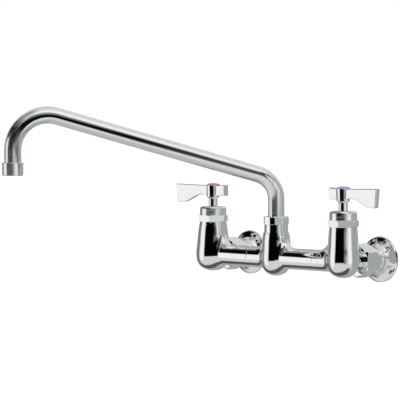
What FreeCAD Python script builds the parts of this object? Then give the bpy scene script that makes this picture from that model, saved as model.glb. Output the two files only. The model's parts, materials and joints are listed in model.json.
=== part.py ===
import FreeCAD, Part
import math
import os

V = FreeCAD.Vector

# Frame: the wall is the plane y = 0, the faucet stands out towards -Y, +Z is up.
# The origin lies half way between the two inlets, on the wall.
# All sizes are in millimetres and all angles in degrees.

# Layout
inlet_centres = 203.2
wall_to_axis = 66.0
spout_reach = 304.8
spout_yaw = 56.0
handle_yaw = 5.5

# Clearances
fit = 0.05
seat_gap = 0.3
thread_gap = 0.1

# Castings
arm_r = 12.1
hot_arm_fillet = 17.0
cold_arm_fillet = 20.0
spout_arm_fillet = 13.0
joint_offset = 37.0
joint_chamfer = 0.25
spigot_r = 10.5
spigot_length = 8.0
passage_r = 8.0
port_r = 5.0
port_height = 5.4
hot_belly_r = 20.0
cold_belly_r = 18.3
spout_belly_r = 17.4
hot_bottom = -19.4
cold_bottom = -18.3
spout_bottom = -20.5
foot_share = 0.42
belly_share = 1.14
belly_rise = 7.6
waist_share = 0.91
waist_rise = 35.0
hot_shoulder_r = 18.2
cold_shoulder_r = 17.0
valve_shoulder = 26.0
valve_top_r = 15.8
valve_top = 39.0
chest_r = 17.0
chest = 20.0
spout_shoulder_r = 14.9
spout_shoulder = 29.6

# Valve chamber
chamber_r = 11.0
bonnet_seat = 24.0
bonnet_thread_r = 13.0
seat_hole_r = 7.4
inlet_drop = 6.5
inlet_port_r = 4.0
pocket_depth = 0.8

# Wall unions, measured along the way from the valve axis to the wall
boss_r = 11.6
boss_end = 21.0
boss_bore_start = 13.0
boss_bore_r = 8.0
tail_r = 10.5
tail_bore_r = 6.0
lip_r = 12.9
lip_start = 26.2
lip_end = 29.0
washer_end = 31.0
union_thread_r = 13.1
union_nut_af = 34.0
union_nut_start = 22.5
union_nut_end = 42.0
union_rim = 3.5

# Wall flanges
flange_r = 26.25
flange_rim = 3.0
flange_hub_r = 15.2
flange_hub_start = 43.5
inlet_thread_r = 9.6
inlet_thread_depth = 15.0
flange_hole_r = 2.3
flange_hole_circle = 18.7
flange_hole_count = 6
hot_flange_turn = 5.0
cold_flange_turn = 34.0

# Bonnets and cartridges
bonnet_af = 31.4
hex_top = 47.0
bonnet_top = 57.2
bonnet_cap_r = 15.7
bonnet_cap_round = 3.2
hot_hex_turn = -31.0
cold_hex_turn = -37.5
housing_r = 10.8
housing_flange_r = 12.8
housing_flange_h = 3.3
housing_neck_r = 8.8
housing_top = 50.0
disc_room_r = 9.0
disc_room_top = 13.0
seal_h = 1.5
fixed_disc_h = 2.0
turning_disc_h = 2.5
disc_hole_in = 3.0
disc_hole_out = 7.3
disc_hole_half_angle = 32.0
window_low = 6.4
window_high = 10.6
window_width = 9.0
stem_r = 4.0
spline_r = 3.6
outer_ring_height = 18.2
stem_ring_height = 42.8
stem_ring_r = 0.55
ring_r = 0.82
ring_gap = 0.03
prong_centre = 6.9
prong_width = 5.0
prong_thick = 2.0
prong_depth = 1.3

# Lever handles
neck_r = 5.3
hub_foot_r = 7.6
hub_r = 8.2
hub_low = 67.6
hub_top = 82.3
wing_length = 55.2
wing_tip_rise = 1.1
wing_sink = 0.3
wing_t = 6.2
wing_depth = 20.8
wing_heel = 9.5
web_depth = 11.3
web_at = 14.0
tip_lean = 1.9
toe = 2.8
tail_length = 20.2
tail_t = 8.0
tail_low = 69.8
tail_tip_rise = 1.0
root_round = 1.0
handle_bore_top = 71.0
screw_seat = 74.0
screw_r = 1.85
screw_head_r = 3.6
screw_head_h = 2.6
screw_grip = 11.0
screw_room = 0.35
button_seat = 78.6
button_r = 7.7
button_plug_r = 6.0
button_edge = 1.2
button_h = 2.6

# Spout
tube_r = 9.525
tube_wall = 1.2
tube_start = 22.0
riser_corner = 90.4
outlet_corner = 177.7
riser_bend_r = 30.0
outlet_bend_r = 40.0
tube_end = 104.0
spout_bore_r = 12.0
spout_bore_start = 20.0
neck_top = 43.5
spout_neck_r = 13.95
spout_thread_r = 12.9
ferrule_r = 11.9
ferrule_flange_r = 12.6
ferrule_flange_h = 1.2
slip_h = 1.3
spout_nut_r = 14.6
spout_nut_af = 27.8
spout_nut_turn = -36.0
spout_nut_low = 38.6
spout_nut_top = 48.3
ring_heights = (26.5, 34.5)

# Aerator
aerator_drop = 7.8
aerator_grip = 7.3
aerator_low_r = 11.7
aerator_top_r = 12.0
aerator_room_r = 10.2
aerator_lip_r = 9.0
aerator_lip_h = 1.6
aerator_washer_h = 1.5


def turn(points):
    """Solid of revolution about Z from (radius, height) corners."""
    wire = Part.makePolygon([V(r, 0, z) for r, z in points + points[:1]])
    return Part.Face(wire).revolve(V(0, 0, 0), V(0, 0, 1), 360)


def rod(radius, low, high):
    return Part.makeCylinder(radius, high - low, V(0, 0, low))


def tube(outer, inner, low, high):
    return rod(outer, low, high).cut(rod(inner, low - 1, high + 1))


def rod_x(radius, start, end, z=0.0):
    return Part.makeCylinder(radius, end - start, V(start, 0, z), V(1, 0, 0))


def rod_y(radius, start, end, z=0.0):
    return Part.makeCylinder(radius, end - start, V(0, start, z), V(0, 1, 0))


def to_wall(shape):
    """Lay a shape made along Z on the line from the valve axis to the wall."""
    out = shape.copy()
    out.rotate(V(0, 0, 0), V(1, 0, 0), -90)
    return out


def o_ring(centre_r, section_r, height):
    return Part.makeTorus(centre_r, section_r, V(0, 0, height))


def ring_groove(shaft_r, section_r, height):
    """Space for an O-ring in the outside of a shaft."""
    half = section_r + seat_gap
    return tube(shaft_r + 1, shaft_r - 2 * section_r, height - half, height + half)


def hexagon(across_flats, low, high, turned):
    """Hexagonal prism with both ends chamfered; one face looks along the angle turned."""
    corner_r = across_flats / math.sqrt(3)
    corners = []
    for k in range(7):
        angle = math.radians(turned + 30 + 60 * k)
        corners.append(V(corner_r * math.cos(angle), corner_r * math.sin(angle), low))
    prism = Part.Face(Part.makePolygon(corners)).extrude(V(0, 0, high - low))
    face_r = across_flats / 2
    slope = (corner_r - face_r) * 0.55
    chamfer = turn([
        (0, low), (face_r + 0.1, low), (corner_r + 0.1, low + slope),
        (corner_r + 0.1, high - slope), (face_r + 0.1, high), (0, high),
    ])
    return prism.common(chamfer)


def bottle(belly_r, bottom, shoulder, top):
    """Bottle-shaped casting body: round foot, belly, shoulder and level top."""
    foot = V(0, 0, bottom)
    curve = Part.BSplineCurve()
    curve.buildFromPoles([
        foot, V(foot_share * belly_r, 0, bottom),
        V(belly_share * belly_r, 0, bottom + belly_rise),
        V(waist_share * belly_r, 0, bottom + waist_rise),
        shoulder, top,
    ], False, 3)
    middle = V(0, 0, top.z)
    side = Part.Wire([curve.toShape(), Part.makeLine(top, middle), Part.makeLine(middle, foot)])
    body = Part.Face(side).revolve(V(0, 0, 0), V(0, 0, 1), 360)
    body.rotate(V(0, 0, 0), V(0, 0, 1), -90)
    return body


def blend_arm(body, arm, fillet_r):
    """Join an arm along X to a body and round the inner corner between them."""
    joined = body.fuse(arm)
    corner = []
    for edge in joined.Edges:
        if edge.Degenerated or edge.Length < 0.5:
            continue
        points = edge.discretize(5)
        on_arm = all(abs(math.hypot(p.y, p.z) - arm_r) < 0.02 for p in points)
        near_body = all(abs(p.x) < joint_offset - 1 for p in points)
        if on_arm and near_body:
            corner.append(edge)
    return joined.makeFillet(fillet_r, corner)


def valve_bottle(belly_r, bottom, shoulder_r):
    shoulder = V(shoulder_r, 0, valve_shoulder)
    return bottle(belly_r, bottom, shoulder, V(valve_top_r, 0, valve_top))


def spout_bottle():
    shoulder = V(chest_r, 0, chest)
    return bottle(spout_belly_r, spout_bottom, shoulder, V(spout_shoulder_r, 0, spout_shoulder))


def arm(start, end):
    """Round arm along X with both ends chamfered."""
    bar = rod_x(arm_r, start, end)
    return bar.makeChamfer(joint_chamfer, [e for e in bar.Edges if len(e.Vertexes) == 1])


def arm_end():
    """Spigot on the end of a long arm, as deep as the next casting's socket."""
    start = inlet_centres / 2 - joint_offset
    return rod_x(spigot_r, start - 1, start + spigot_length)


def socket():
    """Space cut from a short arm for the spigot of the casting to its left."""
    return rod_x(spigot_r + fit, -joint_offset - 1, -joint_offset + spigot_length + seat_gap)


def hollowed(body, spaces):
    """Cut each space in turn, which is sturdier than one joined cutting shape."""
    for space in spaces:
        body = body.cut(space)
    return body


def valve_waterways():
    """Spaces inside a valve casting that do not depend on its side."""
    pocket_floor = -inlet_drop - inlet_port_r - pocket_depth
    return [
        rod(chamber_r, 0, bonnet_seat + 1),
        rod(bonnet_thread_r, bonnet_seat, valve_top + 1),
        rod(seat_hole_r, pocket_floor, 1),
        rod_y(inlet_port_r, 0, boss_bore_start + 2, -inlet_drop),
        rod_y(boss_bore_r, boss_bore_start, boss_end + 1),
    ]


def wall_boss():
    return rod_y(boss_r, 3, boss_end)


def arm_passage(start):
    """Waterway from a point in a long arm out through its spigot."""
    return rod_x(passage_r, start, inlet_centres / 2 - joint_offset + spigot_length + 1)


def hot_valve_body():
    bottle_body = valve_bottle(hot_belly_r, hot_bottom, hot_shoulder_r)
    body = blend_arm(bottle_body, arm(0, inlet_centres / 2 - joint_offset), hot_arm_fillet)
    body = body.fuse(arm_end()).fuse(wall_boss())
    port = rod_x(port_r, 0, joint_offset + 2, port_height)
    return hollowed(body, valve_waterways() + [port, arm_passage(joint_offset)])


def cold_valve_body():
    bottle_body = valve_bottle(cold_belly_r, cold_bottom, cold_shoulder_r)
    body = blend_arm(bottle_body, arm(-joint_offset, 0), cold_arm_fillet)
    body = body.fuse(wall_boss())
    port = rod_x(port_r, -joint_offset + 1, 0, port_height)
    return hollowed(body, valve_waterways() + [port, socket()])


def spout_body():
    arms = arm(-joint_offset, inlet_centres / 2 - joint_offset)
    body = blend_arm(spout_bottle(), arms, spout_arm_fillet).fuse(arm_end())
    body = body.fuse(rod(spout_neck_r, spout_shoulder - 1, spout_nut_low - seat_gap))
    body = body.fuse(rod(spout_thread_r, spout_shoulder - 1, neck_top))
    return hollowed(body, [
        rod(spout_bore_r - 3, -8, spout_bore_start + 1),
        rod(spout_bore_r, spout_bore_start, neck_top + 1),
        socket(),
        arm_passage(-joint_offset + 1),
    ])


def union_tailpiece():
    return to_wall(turn([
        (tail_bore_r, boss_bore_start + 1), (boss_bore_r - fit, boss_bore_start + 1),
        (boss_bore_r - fit, boss_end), (tail_r, boss_end),
        (tail_r, lip_start), (lip_r, lip_start), (lip_r, lip_end), (tail_bore_r, lip_end),
    ]))


def union_washer():
    return to_wall(tube(lip_r - 0.3, tail_bore_r + 0.5, lip_end, washer_end))


def union_nut():
    nut = hexagon(union_nut_af, union_nut_start, union_nut_end, 0)
    nut = nut.cut(rod(tail_r + thread_gap, union_nut_start - 1, union_nut_end))
    nut = nut.cut(rod(union_thread_r + thread_gap, union_nut_start + union_rim, union_nut_end + 1))
    return to_wall(nut)


def wall_flange(turned):
    front = wall_to_axis - flange_rim
    flange = turn([
        (tail_bore_r + 1, washer_end), (union_thread_r, washer_end),
        (union_thread_r, flange_hub_start), (flange_hub_r - 0.8, flange_hub_start),
        (flange_hub_r, flange_hub_start + 0.8), (flange_hub_r, front - 10),
        (flange_hub_r + 0.9, front - 6.6), (flange_hub_r + 3.0, front - 3.6),
        (flange_hub_r + 6.0, front - 1.7), (flange_r - 2.4, front - 0.7),
        (flange_r - 1.0, front), (flange_r, front + 1.0), (flange_r, wall_to_axis - 0.5),
        (flange_r - 0.5, wall_to_axis), (inlet_thread_r, wall_to_axis),
        (inlet_thread_r, wall_to_axis - inlet_thread_depth),
        (tail_bore_r + 1, wall_to_axis - inlet_thread_depth),
    ])
    for k in range(flange_hole_count):
        angle = math.radians(turned + 360.0 * k / flange_hole_count)
        x = flange_hole_circle * math.cos(angle)
        z = flange_hole_circle * math.sin(angle)
        hole = Part.makeCylinder(flange_hole_r, flange_r, V(x, -z, wall_to_axis - flange_r / 2))
        flange = flange.cut(hole)
    return to_wall(flange)


def cartridge_housing():
    flange_top = bonnet_seat + housing_flange_h
    body = turn([
        (disc_room_r, thread_gap), (housing_r, thread_gap), (housing_r, bonnet_seat),
        (housing_flange_r, bonnet_seat), (housing_flange_r, flange_top),
        (housing_neck_r, flange_top), (housing_neck_r, housing_top),
        (stem_r + fit, housing_top), (stem_r + fit, disc_room_top),
        (disc_room_r, disc_room_top),
    ])
    groove = ring_groove(housing_r, ring_r, outer_ring_height)
    window = Part.makeBox(
        30, window_width, window_high - window_low, V(-15, -window_width / 2, window_low))
    return body.cut(groove).cut(window)


def cartridge_seal():
    return tube(disc_room_r - 0.2, seat_hole_r + 0.2, 0, seal_h)


def cartridge_o_ring():
    return o_ring(chamber_r - ring_r - ring_gap, ring_r, outer_ring_height)


def disc_openings(low, high, turned):
    """Two opposite sector-shaped holes of a ceramic disc."""
    ring = tube(disc_hole_out, disc_hole_in, low - 1, high + 1)
    parts = []
    for opposite in (0, 180):
        half = math.radians(disc_hole_half_angle)
        far = 20.0
        corners = [
            V(0, 0, low - 1),
            V(far * math.cos(half), -far * math.sin(half), low - 1),
            V(far * math.cos(half), far * math.sin(half), low - 1),
            V(0, 0, low - 1),
        ]
        wedge = Part.Face(Part.makePolygon(corners)).extrude(V(0, 0, high - low + 2))
        wedge.rotate(V(0, 0, 0), V(0, 0, 1), turned + opposite)
        parts.append(ring.common(wedge))
    return parts[0].fuse(parts[1])


def fixed_disc():
    low = seal_h
    high = seal_h + fixed_disc_h
    return rod(disc_room_r - 0.1, low, high).cut(disc_openings(low, high, 0))


turning_disc_low = seal_h + fixed_disc_h + fit
turning_disc_top = turning_disc_low + turning_disc_h


def prongs(low, high, slack):
    """Two blocks at the rim of the disc, by which the stem turns it."""
    width = prong_width + 2 * slack
    thick = prong_thick + 2 * slack
    out = []
    for side in (-1, 1):
        corner = V(side * prong_centre - thick / 2, -width / 2, low)
        out.append(Part.makeBox(thick, width, high - low, corner))
    return out[0].fuse(out[1])


def turning_disc():
    disc = rod(disc_room_r - 0.25, turning_disc_low, turning_disc_top)
    disc = disc.cut(disc_openings(turning_disc_low, turning_disc_top, 90))
    return disc.cut(prongs(turning_disc_top - prong_depth, turning_disc_top + 1, fit))


def stem():
    foot_low = window_high + 0.4
    foot_top = disc_room_top - thread_gap
    spline_top = handle_bore_top - 1.0
    body = turn([
        (0, foot_low), (disc_room_r - 0.25, foot_low), (disc_room_r - 0.25, foot_top),
        (stem_r, foot_top), (stem_r, bonnet_top), (spline_r, bonnet_top),
        (spline_r, spline_top), (0, spline_top),
    ])
    body = body.fuse(prongs(turning_disc_top - prong_depth + fit, foot_low + 0.5, 0))
    body = body.cut(ring_groove(stem_r, stem_ring_r, stem_ring_height))
    return body.cut(rod(screw_r + fit, handle_bore_top - screw_grip - 1, spline_top + 1))


def stem_o_ring():
    return o_ring(stem_r + fit - stem_ring_r - ring_gap, stem_ring_r, stem_ring_height)


def bonnet(turned):
    skirt_low = bonnet_seat + housing_flange_h
    cap = turn([
        (0, hex_top - 1), (bonnet_cap_r - 0.4, hex_top - 1), (bonnet_cap_r - 0.4, hex_top),
        (bonnet_cap_r, hex_top + 0.4), (bonnet_cap_r, bonnet_top), (0, bonnet_top),
    ])
    rim = [e for e in cap.Edges if e.BoundBox.ZMin > bonnet_top - 0.01]
    cap = cap.makeFillet(bonnet_cap_round, [e for e in rim if e.Length > bonnet_cap_r * 3])
    body = hexagon(bonnet_af, valve_top, hex_top, turned).fuse(cap)
    body = body.fuse(rod(bonnet_thread_r - thread_gap, skirt_low, valve_top + 1))
    body = body.cut(rod(housing_neck_r + 0.15, skirt_low - 1, housing_top + 0.3))
    return body.cut(rod(stem_r + 0.3, skirt_low - 1, bonnet_top + 1))


def sweep_down(start, end):
    """S-shaped edge that leaves its start and reaches its end level."""
    span = end.x - start.x
    curve = Part.BezierCurve()
    curve.setPoles([start, start + V(0.44 * span, 0, 0), end - V(0.38 * span, 0, 0), end])
    return curve.toShape()


def wing_outline():
    """Side view of the wing, from inside the hub out to the tip and back."""
    inner = neck_r / 3
    low = hub_top - wing_depth
    web = V(web_at, 0, hub_top - web_depth)
    heel = V(wing_length - wing_heel, 0, low)
    corner = wing_length - tip_lean
    root = V(inner, 0, hub_low)
    root_curve = Part.BezierCurve()
    root_curve.setPoles([
        root, (root + web) * 0.5 + V(-inner, 0, inner / 2), web - V(web_at / 3, 0, 0), web])
    tip = V(wing_length, 0, hub_top + wing_tip_rise)
    top = V(inner, 0, hub_top - wing_sink)
    arc = Part.Arc(V(corner - toe, 0, low), V(corner - 0.29 * toe, 0, low + 0.29 * toe),
                   V(corner, 0, low + toe))
    return Part.Wire([
        root_curve.toShape(),
        sweep_down(web, heel),
        Part.makeLine(heel, V(corner - toe, 0, low)),
        arc.toShape(),
        Part.makeLine(V(corner, 0, low + toe), tip),
        Part.makeLine(tip, top),
        Part.makeLine(top, root),
    ])


def tail_outline():
    """Side view of the tail; its top crosses the level of the hub half way out."""
    return Part.makePolygon([
        V(0, 0, tail_low), V(-tail_length, 0, tail_low),
        V(-tail_length, 0, hub_top + tail_tip_rise), V(0, 0, hub_top - tail_tip_rise),
        V(0, 0, tail_low),
    ])


def at_root(edge):
    """True for the upright edges along which the wing and the tail leave the hub."""
    if edge.Degenerated:
        return False
    points = edge.discretize(5)
    upright = abs(points[-1].z - points[0].z) > 3 * root_round
    around = [math.hypot(p.x, p.y) for p in points]
    return upright and min(around) > hub_foot_r - 1 and max(around) < hub_r + 1


def lever():
    """Handle with its wing along +X and the short flat tail along -X."""
    low = bonnet_top + seat_gap
    hub = turn([
        (0, low), (neck_r - 0.4, low), (neck_r, low + 0.4), (neck_r, hub_low - 1.2),
        (hub_foot_r - 0.7, hub_low), (hub_foot_r, hub_low + 0.7),
        (hub_r, hub_top - 0.3), (hub_r - 0.3, hub_top), (0, hub_top),
    ])
    wing = Part.Face(wing_outline()).extrude(V(0, wing_t, 0))
    wing.translate(V(0, -wing_t / 2, 0))
    wing = wing.makeFillet(0.9, [e for e in wing.Edges if e.CenterOfMass.x > neck_r + 0.5])
    tail = Part.Face(tail_outline()).extrude(V(0, tail_t, 0))
    tail.translate(V(0, -tail_t / 2, 0))
    tail = tail.makeFillet(1.0, [e for e in tail.Edges if e.CenterOfMass.x < -neck_r])
    body = hub.fuse(wing).fuse(tail).removeSplitter()
    body = body.makeFillet(root_round, [e for e in body.Edges if at_root(e)])
    body = body.cut(rod(spline_r + fit, low - 1, handle_bore_top))
    body = body.cut(rod(stem_r + fit, low - 1, low))
    body = body.cut(rod(screw_r + screw_room, handle_bore_top - 1, hub_top + 5))
    body = body.cut(rod(screw_head_r + 2 * screw_room, screw_seat, hub_top + 5))
    return body.cut(rod(button_plug_r + fit, button_seat, hub_top + 5))


def handle_screw():
    head_top = screw_seat + screw_head_h
    shank = rod(screw_r, handle_bore_top - screw_grip, screw_seat + 0.5)
    head = rod(screw_head_r, screw_seat, head_top)
    length = 3 * screw_head_r
    width = screw_head_r / 4
    slot = Part.makeBox(
        length, width, screw_head_h, V(-length / 2, -width / 2, head_top - screw_head_h / 2))
    return shank.fuse(head).cut(slot)


def index_button():
    """Plug with a shallow dome that covers the screw."""
    rise = button_h - button_edge
    dome_r = (button_r ** 2 + rise ** 2) / (2 * rise)
    dome = Part.makeSphere(dome_r, V(0, 0, hub_top + button_h - dome_r))
    head = rod(button_r, hub_top, hub_top + button_h + 1).common(dome)
    return head.fuse(rod(button_plug_r, button_seat, hub_top + button_edge))


def bent_rod(radius, start, end):
    """Round bar along the spout's centre line, drawn in the XZ plane."""
    slope = math.atan2(outlet_corner - riser_corner, spout_reach)
    first_turn = math.pi / 2 - slope
    last_turn = math.pi / 2 + slope
    first_tangent = riser_bend_r * math.tan(first_turn / 2)
    last_tangent = outlet_bend_r * math.tan(last_turn / 2)
    way = V(math.cos(slope), 0, math.sin(slope))

    riser_top = V(0, 0, riser_corner - first_tangent)
    straight_start = V(0, 0, riser_corner) + way * first_tangent
    straight_end = V(spout_reach, 0, outlet_corner) - way * last_tangent
    drop_top = V(spout_reach, 0, outlet_corner - last_tangent)

    shape = Part.makeCylinder(radius, riser_top.z - start, V(0, 0, start))
    disc = Part.Face(Part.Wire(Part.makeCircle(radius, riser_top, V(0, 0, 1))))
    shape = shape.fuse(disc.revolve(
        riser_top + V(riser_bend_r, 0, 0), V(0, 1, 0), math.degrees(first_turn)))
    length = (straight_end - straight_start).Length
    shape = shape.fuse(Part.makeCylinder(radius, length, straight_start, way))
    disc = Part.Face(Part.Wire(Part.makeCircle(radius, drop_top, V(0, 0, 1))))
    shape = shape.fuse(disc.revolve(
        drop_top - V(outlet_bend_r, 0, 0), V(0, 1, 0), -math.degrees(last_turn)))
    return shape.fuse(Part.makeCylinder(radius, drop_top.z - end, V(spout_reach, 0, end)))


def spout_tube():
    outer = bent_rod(tube_r, tube_start, tube_end)
    return outer.cut(bent_rod(tube_r - tube_wall, tube_start - 1, tube_end - 1))


def spout_ferrule():
    flange_low = neck_top + thread_gap
    body = turn([
        (tube_r, tube_start), (ferrule_r, tube_start), (ferrule_r, flange_low),
        (ferrule_flange_r, flange_low), (ferrule_flange_r, flange_low + ferrule_flange_h),
        (tube_r, flange_low + ferrule_flange_h),
    ])
    for height in ring_heights:
        body = body.cut(ring_groove(ferrule_r, ring_r, height))
    return body


def spout_o_rings():
    return Part.makeCompound([
        o_ring(spout_bore_r - ring_r - ring_gap, ring_r, height) for height in ring_heights])


slip_low = neck_top + thread_gap + ferrule_flange_h + thread_gap
slip_top = slip_low + slip_h


def slip_washer():
    return tube(ferrule_flange_r, tube_r + 0.15, slip_low, slip_top)


def spout_nut():
    """Hexagonal nut whose corners are turned round."""
    turned = turn([
        (0, spout_nut_low), (spout_nut_r - 0.8, spout_nut_low),
        (spout_nut_r, spout_nut_low + 0.8), (spout_nut_r, spout_nut_top - 1.2),
        (spout_nut_r - 1.2, spout_nut_top), (0, spout_nut_top),
    ])
    nut = turned.common(hexagon(spout_nut_af, spout_nut_low, spout_nut_top, spout_nut_turn))
    nut = nut.cut(rod(spout_thread_r + thread_gap, spout_nut_low - 1, slip_top))
    return nut.cut(rod(tube_r + 0.2, spout_nut_low, spout_nut_top + 1))


aerator_low = tube_end - aerator_drop
aerator_top = tube_end + aerator_grip


def aerator_housing():
    body = turn([
        (0, aerator_low), (aerator_low_r - 0.6, aerator_low),
        (aerator_low_r, aerator_low + 0.6), (aerator_top_r, aerator_top - 0.6),
        (aerator_top_r - 0.6, aerator_top), (0, aerator_top),
    ])
    body = body.cut(rod(tube_r + fit, tube_end - 1, aerator_top + 1))
    body = body.cut(rod(aerator_room_r, aerator_low + aerator_lip_h, tube_end))
    return body.cut(rod(aerator_lip_r, aerator_low - 1, tube_end))


def aerator_washer():
    return tube(aerator_room_r - 0.1, tube_r - tube_wall - 1, tube_end - aerator_washer_h, tube_end)


def aerator_insert():
    """Perforated flow straightener under the washer."""
    low = aerator_low + aerator_lip_h
    high = tube_end - aerator_washer_h
    body = rod(aerator_room_r - 0.1, low, high)
    holes = [rod(0.75, low - 1, high + 1)]
    for circle, count in ((2.6, 6), (5.2, 12)):
        for k in range(count):
            hole = rod(0.75, low - 1, high + 1)
            hole.translate(V(circle, 0, 0))
            hole.rotate(V(0, 0, 0), V(0, 0, 1), 360.0 * k / count)
            holes.append(hole)
    return body.cut(Part.makeCompound(holes))


def place(shape, x=0.0):
    """Move a shape from its own axis to the row of valves in front of the wall."""
    out = shape.copy()
    out.translate(V(x, -wall_to_axis, 0))
    return out


def swung(shape, at_outlet=False):
    """Turn a shape drawn with the spout along +X to the way the spout points."""
    out = shape.copy()
    if at_outlet:
        out.translate(V(spout_reach, 0, 0))
    out.rotate(V(0, 0, 0), V(0, 0, 1), 180 + spout_yaw)
    return place(out)


def handle_pose(shape, way, x):
    out = shape.copy()
    out.rotate(V(0, 0, 0), V(0, 0, 1), way)
    return place(out, x)


def side_nodes(name, x, body, hex_turn, flange_turn, handle_way):
    """All pieces of one side, hot or cold."""
    return {
        name + "_valve_body": place(body, x),
        name + "_union_tailpiece": place(union_tailpiece(), x),
        name + "_union_washer": place(union_washer(), x),
        name + "_union_nut": place(union_nut(), x),
        name + "_wall_flange": place(wall_flange(flange_turn), x),
        name + "_cartridge_housing": place(cartridge_housing(), x),
        name + "_cartridge_seal": place(cartridge_seal(), x),
        name + "_cartridge_o_ring": place(cartridge_o_ring(), x),
        name + "_fixed_disc": place(fixed_disc(), x),
        name + "_bonnet": place(bonnet(hex_turn), x),
        name + "_turning_disc": place(turning_disc(), x),
        name + "_stem": place(stem(), x),
        name + "_stem_o_ring": place(stem_o_ring(), x),
        name + "_lever": handle_pose(lever(), handle_way, x),
        name + "_handle_screw": handle_pose(handle_screw(), handle_way, x),
        name + "_index_button": place(index_button(), x),
    }


def all_nodes():
    half = inlet_centres / 2
    nodes = {}
    nodes.update(side_nodes(
        "hot", -half, hot_valve_body(), hot_hex_turn, hot_flange_turn, 180 + handle_yaw))
    nodes.update(side_nodes(
        "cold", half, cold_valve_body(), cold_hex_turn, cold_flange_turn, -handle_yaw))
    nodes["spout_body"] = place(spout_body())
    nodes["spout_nut"] = place(spout_nut())
    nodes["spout_slip_washer"] = place(slip_washer())
    nodes["spout_tube"] = swung(spout_tube())
    nodes["spout_ferrule"] = place(spout_ferrule())
    nodes["spout_o_rings"] = place(spout_o_rings())
    nodes["aerator_housing"] = swung(aerator_housing(), True)
    nodes["aerator_washer"] = swung(aerator_washer(), True)
    nodes["aerator_insert"] = swung(aerator_insert(), True)
    return nodes


os.makedirs("parts", exist_ok=True)
for node_name, node_shape in all_nodes().items():
    if len(node_shape.Solids) == 1:
        node_shape = node_shape.Solids[0]
    node_shape.exportStep("parts/" + node_name + ".step")
    print(node_name, len(node_shape.Solids), node_shape.isValid(), round(node_shape.Volume, 1))
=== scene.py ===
import json
import math

import bpy
from mathutils import Matrix, Vector

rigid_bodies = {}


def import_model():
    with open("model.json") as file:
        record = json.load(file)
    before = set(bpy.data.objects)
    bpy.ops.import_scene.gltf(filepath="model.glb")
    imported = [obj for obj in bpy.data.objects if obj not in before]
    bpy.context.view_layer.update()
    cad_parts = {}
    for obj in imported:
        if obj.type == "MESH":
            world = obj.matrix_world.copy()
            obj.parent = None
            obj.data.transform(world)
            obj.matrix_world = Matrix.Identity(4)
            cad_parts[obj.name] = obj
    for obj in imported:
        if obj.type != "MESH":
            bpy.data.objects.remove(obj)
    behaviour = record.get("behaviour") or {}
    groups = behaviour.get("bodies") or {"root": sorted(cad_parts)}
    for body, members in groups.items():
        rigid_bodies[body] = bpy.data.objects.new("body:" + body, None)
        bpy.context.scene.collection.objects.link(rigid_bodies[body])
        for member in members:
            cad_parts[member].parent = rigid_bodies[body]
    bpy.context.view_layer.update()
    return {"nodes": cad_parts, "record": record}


for leftover in list(bpy.data.objects):
    bpy.data.objects.remove(leftover)

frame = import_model()
nodes = frame["nodes"]
scene = bpy.context.scene
scene.view_settings.view_transform = "Standard"

# Lengths are in metres, in the CAD model's frame.

# The camera, at the photograph's viewing angle: how far it is turned to the left from looking
# straight at the wall, how far it looks down, and its lens and sensor in millimetres.
CAMERA_AT = (1.6061, -1.8250, 0.1488)
CAMERA_AZIMUTH = math.radians(44.517)
CAMERA_TILT = math.radians(1.968)
CAMERA_LENS = 185.63
CAMERA_SENSOR = 36.0
CAMERA_CLIP = (0.05, 60.0)

# The spout at rest: the axes of its riser and outlet, and its straight run, as the point where
# it would meet the riser's axis and its direction.
RISER_AXIS = (0.0, -0.066, 0.0)
OUTLET_AXIS = (-0.1704, -0.3187, 0.0)
RUN_START = (0.0, -0.066, 0.0904)
RUN_WAY = (-0.1704, -0.2527, 0.0873)
# Where each bonnet's hexagon ends and its round cap begins.
BONNET_HEX_TOP = 0.0473

# The studio's azimuth 0, turned from straight in front of the wall to the right.
FRONT = math.radians(41.35)
# How much of the light polished metal gives back.
MIRROR = 0.90
# The world's grey for all that is lit by it and doesn't mirror it.
AMBIENT = 0.72

FLOOR_HALF_WIDTH = 14.0
FLOOR_LEVEL = -0.30
FLOOR_GREYS = (0.86, 0.90)
FLOOR_NOISE = 3.0
# Light added where the camera sees the floor, so that it shows as pale as the background.
FLOOR_GLOW = 0.5

LAMP_AT = (0.2, -0.9, 1.5)
LAMP_SIZE = (1.6, 1.2)
LAMP_WATTS = 9.0

# A dark card parallel to the spout's straight run: how far it is turned to the right of FRONT,
# how far it stands off, and its extent along the run and across it. Its lower edge rises
# towards the riser, from FLAG_LOW_FROM on.
FLAG_TURN = math.radians(23)
FLAG_AWAY = 0.08
FLAG_ALONG = (-0.008, 0.34)
FLAG_UP = (-0.046, 0.050)
FLAG_NEAR_LOW = -0.004
FLAG_LOW_FROM = 0.155
# Its darkest line: its height at the riser, how far it sinks per metre, and its lowest height.
FLAG_LINE_HIGH, FLAG_LINE_SLOPE, FLAG_LINE_LOW = 0.036, 0.17, -0.010
# Where it darkens along the run, and where it lightens above and below its darkest line.
FLAG_DARKENS = (0.03, 0.17)
FLAG_LIGHT_ABOVE = (0.004, 0.048)
FLAG_LIGHT_BELOW = (-0.090, -0.020)

# A dark strip below the castings, with soft front and back edges.
STRIP_X = (-0.17, 0.19)
STRIP_Y = (-0.101, -0.058)
STRIP_Z = -0.05
STRIP_SOFT = 0.006

# A grey screen in front of the cold flange's right half.
SCREEN_X = (0.119, 0.152)
SCREEN_Y = -0.045
SCREEN_Z = (-0.012, 0.045)

# Scale of the noise on the strip and the screen.
CARD_NOISE = 60.0

# All finishes: the clouds' scale as a share of the grain's, the values of the fine noise over
# which the roughness goes from its lowest to its highest, and the depth of the relief.
CLOUD_SHARE = 0.15
GRAIN_SPAN = (0.3, 0.7)
RELIEF_DEPTH = 0.0001
# Round the dull axes: the distances over which the effect fades, and the roughness it adds.
DULL_FADE = (0.0105, 0.016)
DULL_ROUGHER = 0.19
# The height over which the lathe's rings set in.
TURNED_FADE = 0.0004
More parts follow.
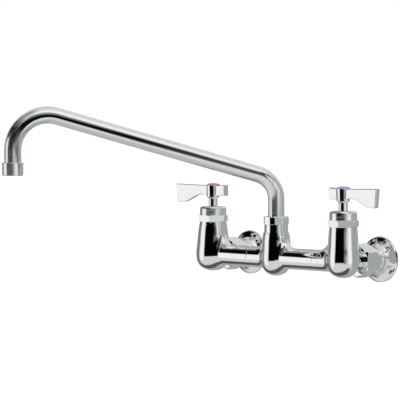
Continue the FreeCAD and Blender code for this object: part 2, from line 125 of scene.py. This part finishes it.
# Fine lines: how the noise is stretched, its scale and its depth.
DRAWN_LINES = {"stretch": (1, 1, 0.01), "scale": 700.0, "depth": 0.0004}
LATHE_RINGS = {"stretch": (0.01, 0.01, 1), "scale": 3200.0, "depth": 0.00009}

# What the polished, drawn and turned chrome share.
CHROME = {"dark": (0.86, 0.88, 0.89), "light": (0.93, 0.94, 0.95), "metallic": 1.0,
          "rough": (0.025, 0.055), "grain": 900.0, "bump": 0.02}


class Tree:
    """Short ways to add nodes to a node tree. A value is a socket or a constant."""

    def __init__(self, tree):
        self.tree = tree
        tree.nodes.clear()

    def add(self, kind, **settings):
        node = self.tree.nodes.new(kind)
        for name, value in settings.items():
            setattr(node, name, value)
        return node

    def put(self, socket, value):
        if isinstance(value, bpy.types.NodeSocket):
            self.tree.links.new(value, socket)
        else:
            socket.default_value = value

    def place(self):
        """The point's place in its object, which for a CAD node is its place in the frame."""
        return self.add("ShaderNodeTexCoord").outputs["Object"]

    def split(self, vector):
        """The sockets X, Y and Z of a vector."""
        node = self.add("ShaderNodeSeparateXYZ")
        self.put(node.inputs[0], vector)
        return node.outputs

    def math(self, operation, a, b=0.0):
        node = self.add("ShaderNodeMath", operation=operation)
        self.put(node.inputs[0], a)
        self.put(node.inputs[1], b)
        return node.outputs[0]

    def vector_math(self, operation, a, b=(0, 0, 0)):
        """The sockets Vector and Value, of which the operation fills one."""
        node = self.add("ShaderNodeVectorMath", operation=operation)
        self.put(node.inputs[0], a)
        self.put(node.inputs[1], b)
        return node.outputs

    def dot(self, vector, direction):
        return self.vector_math("DOT_PRODUCT", vector, direction)["Value"]

    def ramp(self, value, low, high, to_low=0.0, to_high=1.0):
        """Smooth step from to_low to to_high, as value goes from low to high."""
        node = self.add("ShaderNodeMapRange", interpolation_type="SMOOTHSTEP")
        self.put(node.inputs["Value"], value)
        node.inputs["From Min"].default_value = low
        node.inputs["From Max"].default_value = high
        node.inputs["To Min"].default_value = to_low
        node.inputs["To Max"].default_value = to_high
        return node.outputs["Result"]

    def between(self, value, low, high, soft):
        """1 where value lies from low to high, with soft edges."""
        up = self.ramp(value, low - soft, low + soft)
        down = self.ramp(value, high - soft, high + soft, 1.0, 0.0)
        return self.math("MULTIPLY", up, down)

    def mix(self, factor, a, b):
        """Colour a where factor is 0, and b where it is 1."""
        node = self.add("ShaderNodeMix", data_type="RGBA")
        self.put(node.inputs["Factor"], factor)
        self.put(node.inputs[6], a)
        self.put(node.inputs[7], b)
        return node.outputs[2]

    def noise(self, vector, scale, detail=3.0, roughness=0.5):
        node = self.add("ShaderNodeTexNoise")
        self.put(node.inputs["Vector"], vector)
        node.inputs["Scale"].default_value = scale
        node.inputs["Detail"].default_value = detail
        node.inputs["Roughness"].default_value = roughness
        return node.outputs["Fac"]

    def glow(self, colour, strength=1.0):
        node = self.add("ShaderNodeEmission")
        self.put(node.inputs["Color"], colour)
        self.put(node.inputs["Strength"], strength)
        return node.outputs[0]

    def surface(self, shader, output="ShaderNodeOutputMaterial"):
        """The tree's end."""
        self.put(self.add(output).inputs["Surface"], shader)


def grey(value):
    return (value, value, value, 1.0)


def tone(red, green=None, blue=None):
    """Light that polished metal shows as the given display tone, from 0 to 255.

    One number is a grey. The curve is that of sRGB.
    """
    levels = (red, red if green is None else green, red if blue is None else blue)
    return tuple(((v / 255 + 0.055) / 1.055) ** 2.4 / MIRROR for v in levels) + (1.0,)


def new_material(name):
    """A material and its tree."""
    material = bpy.data.materials.new(name)
    material.use_nodes = True
    return material, Tree(material.node_tree)


def make_camera():
    data = bpy.data.cameras.new("camera")
    data.lens = CAMERA_LENS
    data.sensor_width = CAMERA_SENSOR
    data.clip_start, data.clip_end = CAMERA_CLIP
    camera = bpy.data.objects.new("camera", data)
    scene.collection.objects.link(camera)
    camera.location = CAMERA_AT
    camera.rotation_euler = (math.pi / 2 - CAMERA_TILT, 0, CAMERA_AZIMUTH)
    scene.camera = camera


class Studio:
    """Light and dark cards round the object, told by azimuth and height in degrees.

    Azimuth is 0 towards FRONT, close to the camera, and grows to the right of the picture.
    """

    def __init__(self, t, light):
        self.t = t
        way = t.add("ShaderNodeTexCoord").outputs["Generated"]
        front = t.dot(way, (math.sin(FRONT), -math.cos(FRONT), 0))
        right = t.dot(way, (math.cos(FRONT), math.sin(FRONT), 0))
        self.azimuth = t.math("DEGREES", t.math("ARCTAN2", right, front))
        self.height = t.math("DEGREES", t.math("ARCSINE", t.dot(way, (0, 0, 1))))
        self.light = light

    def layer(self, low, high, light):
        """Everything above a height, from low on and in full at high."""
        self.light = self.t.mix(self.t.ramp(self.height, low, high), self.light, light)

    def card(self, azimuth, height, soft, light):
        """A card over what is there, with soft sides and soft upper and lower edges."""
        across = self.t.between(self.azimuth, *azimuth, soft[0])
        upward = self.t.between(self.height, *height, soft[1])
        self.light = self.t.mix(self.t.math("MULTIPLY", across, upward), self.light, light)


def make_world():
    """White behind the object. Polished metal mirrors a studio of light and dark cards."""
    world = bpy.data.worlds.new("studio")
    scene.world = world
    world.use_nodes = True
    world.cycles.sampling_method = "NONE"
    t = Tree(world.node_tree)
    studio = Studio(t, light=tone(180))
    studio.layer(-72, -50, tone(206))
    studio.layer(38, 50, tone(208))
    # Grey walls: on the right and behind, behind on the left, a lighter part above the first,
    # and on the left.
    studio.card((66, 200), (-85, 46), soft=(4, 6), light=tone(158, 163, 162))
    studio.card((-200, -148), (-60, 46), soft=(6, 6), light=tone(163))
    studio.card((108, 200), (14, 60), soft=(8, 6), light=tone(208))
    studio.card((-150, -108), (-56, 26), soft=(7, 8), light=tone(120))
    # Overhead: darker on the left, bright in the middle.
    studio.card((-135, -30), (42, 78), soft=(12, 6), light=tone(148))
    studio.card((-6, 76), (28, 72), soft=(8, 6), light=tone(238, 237, 233))
    # A white wall on the left, with a black card above it.
    studio.card((-99, -68), (-22, 18), soft=(4, 3), light=tone(238))
    studio.card((-134, -42), (18, 46), soft=(5, 3), light=tone(8))
    # Right of the front, a wall that brightens to white, with a dark card above its end.
    wall = t.mix(t.ramp(studio.azimuth, 8, 48), tone(116), tone(238))
    studio.card((3, 63), (-12, 26), soft=(3, 4), light=wall)
    studio.card((42, 68), (20, 38), soft=(4, 5), light=tone(88, 84, 82))
    # The black card in front, with a dim arm to the right, a darker root to that arm, and a
    # dim card above.
    studio.card((-6, 30), (7, 17), soft=(6, 3), light=tone(74))
    studio.card((-62, 6), (-9, 29), soft=(3, 2), light=tone(2))
    studio.card((-10, 13), (9, 26), soft=(4, 3), light=tone(3))
    studio.card((-52, -18), (25, 45), soft=(6, 4), light=tone(30))

    rays = t.add("ShaderNodeLightPath").outputs
    seen = t.math("MAXIMUM", rays["Is Glossy Ray"], rays["Is Transmission Ray"])
    colour = t.mix(seen, grey(AMBIENT), studio.light)
    colour = t.mix(rays["Is Camera Ray"], colour, grey(1.0))
    back = t.add("ShaderNodeBackground")
    t.put(back.inputs["Color"], colour)
    t.surface(back.outputs[0], output="ShaderNodeOutputWorld")


def make_stage(name, corners, material):
    """An object of one flat face, which is the studio's and not the faucet's."""
    mesh = bpy.data.meshes.new(name)
    mesh.from_pydata(corners, [], [range(len(corners))])
    mesh.materials.append(material)
    thing = bpy.data.objects.new(name, mesh)
    scene.collection.objects.link(thing)
    return thing


def make_floor():
    material, t = new_material("floor")
    shade = t.add("ShaderNodeBsdfDiffuse")
    low, high = FLOOR_GREYS
    t.put(shade.inputs["Color"], t.mix(t.noise(t.place(), FLOOR_NOISE), grey(low), grey(high)))
    camera_ray = t.add("ShaderNodeLightPath").outputs["Is Camera Ray"]
    both = t.add("ShaderNodeAddShader")
    t.put(both.inputs[0], shade.outputs[0])
    t.put(both.inputs[1], t.glow(grey(1.0), t.math("MULTIPLY", camera_ray, FLOOR_GLOW)))
    t.surface(both.outputs[0])
    half = FLOOR_HALF_WIDTH
    corners = [(-half, -half, FLOOR_LEVEL), (half, -half, FLOOR_LEVEL),
               (half, half, FLOOR_LEVEL), (-half, half, FLOOR_LEVEL)]
    make_stage("floor", corners, material).visible_glossy = False


def make_mirrored(name, corners, material):
    """A card that only shows in polished metal."""
    card = make_stage(name, corners, material)
    for ray in ("camera", "diffuse", "transmission", "volume_scatter", "shadow"):
        setattr(card, "visible_" + ray, False)
    return card


def make_flag():
    """Dark card beside the spout's straight run."""
    material, t = new_material("flag")
    place = t.split(t.place())
    sunk = t.math("MULTIPLY", place["X"], FLAG_LINE_SLOPE)
    line = t.math("MAXIMUM", t.math("SUBTRACT", FLAG_LINE_HIGH, sunk), FLAG_LINE_LOW)
    height = t.math("SUBTRACT", place["Y"], line)
    light = t.mix(t.ramp(place["X"], *FLAG_DARKENS), tone(74, 68, 65), tone(8, 6, 5))
    light = t.mix(t.ramp(height, *FLAG_LIGHT_ABOVE), light, tone(150))
    light = t.mix(t.ramp(height, *FLAG_LIGHT_BELOW, 1.0, 0.0), light, tone(165))
    t.surface(t.glow(light))

    (near, far), (low, high) = FLAG_ALONG, FLAG_UP
    corners = [(near, FLAG_NEAR_LOW, 0), (FLAG_LOW_FROM, low, 0), (far, low, 0),
               (far, high, 0), (near, high, 0)]
    flag = make_mirrored("flag", corners, material)
    way = Vector(RUN_WAY).normalized()
    towards = Vector((math.sin(FRONT + FLAG_TURN), -math.cos(FRONT + FLAG_TURN), 0))
    out = (towards - way * towards.dot(way)).normalized()
    turn = Matrix((way, way.cross(out), out)).transposed().to_4x4()
    flag.matrix_world = Matrix.Translation(Vector(RUN_START) + out * FLAG_AWAY) @ turn


def make_strip():
    """Dark strip below the castings."""
    (left, right), (front, back) = STRIP_X, STRIP_Y
    material, t = new_material("strip")
    place = t.place()
    light = t.mix(t.noise(place, CARD_NOISE), tone(62, 56, 52), tone(100, 95, 91))
    inner = t.between(t.split(place)["Y"], front + STRIP_SOFT, back - STRIP_SOFT, STRIP_SOFT)
    cover = t.add("ShaderNodeMixShader")
    t.put(cover.inputs[0], inner)
    t.put(cover.inputs[1], t.add("ShaderNodeBsdfTransparent").outputs[0])
    t.put(cover.inputs[2], t.glow(light))
    t.surface(cover.outputs[0])
    corners = [(left, front, STRIP_Z), (right, front, STRIP_Z),
               (right, back, STRIP_Z), (left, back, STRIP_Z)]
    make_mirrored("strip", corners, material)


def make_screen():
    """Grey screen between the black card in front and the cold flange."""
    (left, right), (low, high) = SCREEN_X, SCREEN_Z
    material, t = new_material("screen")
    t.surface(t.glow(t.mix(t.noise(t.place(), CARD_NOISE), tone(140), tone(168))))
    corners = [(left, SCREEN_Y, low), (right, SCREEN_Y, low),
               (right, SCREEN_Y, high), (left, SCREEN_Y, high)]
    make_mirrored("screen", corners, material)


def make_lamp():
    """Soft light from overhead, aimed at the origin."""
    data = bpy.data.lights.new("overhead", "AREA")
    data.shape = "RECTANGLE"
    data.size, data.size_y = LAMP_SIZE
    data.energy = LAMP_WATTS
    lamp = bpy.data.objects.new("overhead", data)
    scene.collection.objects.link(lamp)
    lamp.location = LAMP_AT
    lamp.rotation_euler = (-Vector(LAMP_AT)).to_track_quat("-Z", "Y").to_euler()
    lamp.visible_glossy = False


def near_axes(t, place, axes):
    """1 close to the upright axes, fading to 0."""
    result = 0.0
    for axis in axes:
        shifted = t.vector_math("SUBTRACT", place, axis)["Vector"]
        level = t.vector_math("MULTIPLY", shifted, (1, 1, 0))["Vector"]
        distance = t.vector_math("LENGTH", level)["Value"]
        result = t.math("ADD", result, t.ramp(distance, *DULL_FADE, 1.0, 0.0))
    return result


def fine_lines(t, place, strength, stretch, scale, depth):
    """Relief of fine lines: noise that is drawn out where stretch is small."""
    drawn_out = t.vector_math("MULTIPLY", place, stretch)["Vector"]
    lines = t.add("ShaderNodeBump")
    t.put(lines.inputs["Strength"], strength)
    lines.inputs["Distance"].default_value = depth
    t.put(lines.inputs["Height"], t.noise(drawn_out, scale, detail=2.0))
    return lines.outputs[0]


def finish_of(name, dark, light, metallic, rough, grain, bump, dull_axes=(), turned_above=None):
    """Material whose colour, roughness and relief vary with fine noise.

    Its colour goes from dark to light and its roughness over rough, grain is the noise's scale
    and bump the strength of its relief. Near the upright dull_axes it is rougher, with lines
    along them. Above the height turned_above it has the fine rings of a lathe.
    """
    material, t = new_material(name)
    place = t.place()
    clouds = t.noise(place, grain * CLOUD_SHARE, detail=4.0)
    fine = t.noise(place, grain, detail=6.0, roughness=0.6)
    roughness = t.ramp(fine, *GRAIN_SPAN, *rough)
    relief = t.add("ShaderNodeBump")
    relief.inputs["Strength"].default_value = bump
    relief.inputs["Distance"].default_value = RELIEF_DEPTH
    t.put(relief.inputs["Height"], fine)
    if dull_axes:
        dull = near_axes(t, place, dull_axes)
        roughness = t.math("ADD", roughness, t.math("MULTIPLY", dull, DULL_ROUGHER))
        t.put(relief.inputs["Normal"], fine_lines(t, place, dull, **DRAWN_LINES))
    if turned_above is not None:
        upper = t.ramp(t.split(place)["Z"], turned_above, turned_above + TURNED_FADE)
        t.put(relief.inputs["Normal"], fine_lines(t, place, upper, **LATHE_RINGS))
    shade = t.add("ShaderNodeBsdfPrincipled")
    t.put(shade.inputs["Base Color"], t.mix(clouds, (*dark, 1.0), (*light, 1.0)))
    shade.inputs["Metallic"].default_value = metallic
    t.put(shade.inputs["Roughness"], roughness)
    t.put(shade.inputs["Normal"], relief.outputs[0])
    t.surface(shade.outputs[0])
    return material


make_camera()
make_world()
make_floor()
make_flag()
make_strip()
make_screen()
make_lamp()

# The finish of each of the record's material slots.
finishes = {
    "chrome": finish_of("polished_chrome", **CHROME),
    "brass": finish_of("machined_brass", (0.62, 0.46, 0.20), (0.80, 0.64, 0.32),
                       metallic=1.0, rough=(0.22, 0.36), grain=1500.0, bump=0.25),
    "steel": finish_of("brushed_steel", (0.50, 0.50, 0.51), (0.66, 0.66, 0.67),
                       metallic=1.0, rough=(0.25, 0.40), grain=1800.0, bump=0.2),
    "rubber": finish_of("seal_rubber", (0.020, 0.020, 0.021), (0.045, 0.045, 0.047),
                        metallic=0.0, rough=(0.6, 0.8), grain=1200.0, bump=0.4),
    "ceramic": finish_of("lapped_ceramic", (0.84, 0.83, 0.79), (0.92, 0.91, 0.88),
                         metallic=0.0, rough=(0.18, 0.30), grain=1500.0, bump=0.1),
    "nylon": finish_of("moulded_nylon", (0.78, 0.78, 0.74), (0.88, 0.88, 0.85),
                       metallic=0.0, rough=(0.45, 0.60), grain=900.0, bump=0.3),
    "red_index": finish_of("red_index", (0.50, 0.20, 0.17), (0.62, 0.30, 0.26),
                           metallic=0.0, rough=(0.12, 0.25), grain=700.0, bump=0.1),
    "blue_index": finish_of("blue_index", (0.28, 0.32, 0.52), (0.38, 0.42, 0.62),
                            metallic=0.0, rough=(0.12, 0.25), grain=700.0, bump=0.1),
}
turned = finish_of("turned_chrome", turned_above=BONNET_HEX_TOP, **CHROME)
# Nodes whose chrome is not the plain polished one.
own_finish = {
    "spout_tube": finish_of("drawn_chrome", dull_axes=(RISER_AXIS, OUTLET_AXIS), **CHROME),
    "aerator_housing": finish_of("satin_chrome", (0.84, 0.85, 0.86), (0.92, 0.93, 0.94),
                                 metallic=1.0, rough=(0.20, 0.26), grain=1100.0, bump=0.05),
    "hot_bonnet": turned,
    "cold_bonnet": turned,
}
for part in frame["record"]["subparts"]:
    for slot in nodes[part["node"]].material_slots:
        slot.material = own_finish.get(part["node"], finishes[part["material_slot"]])
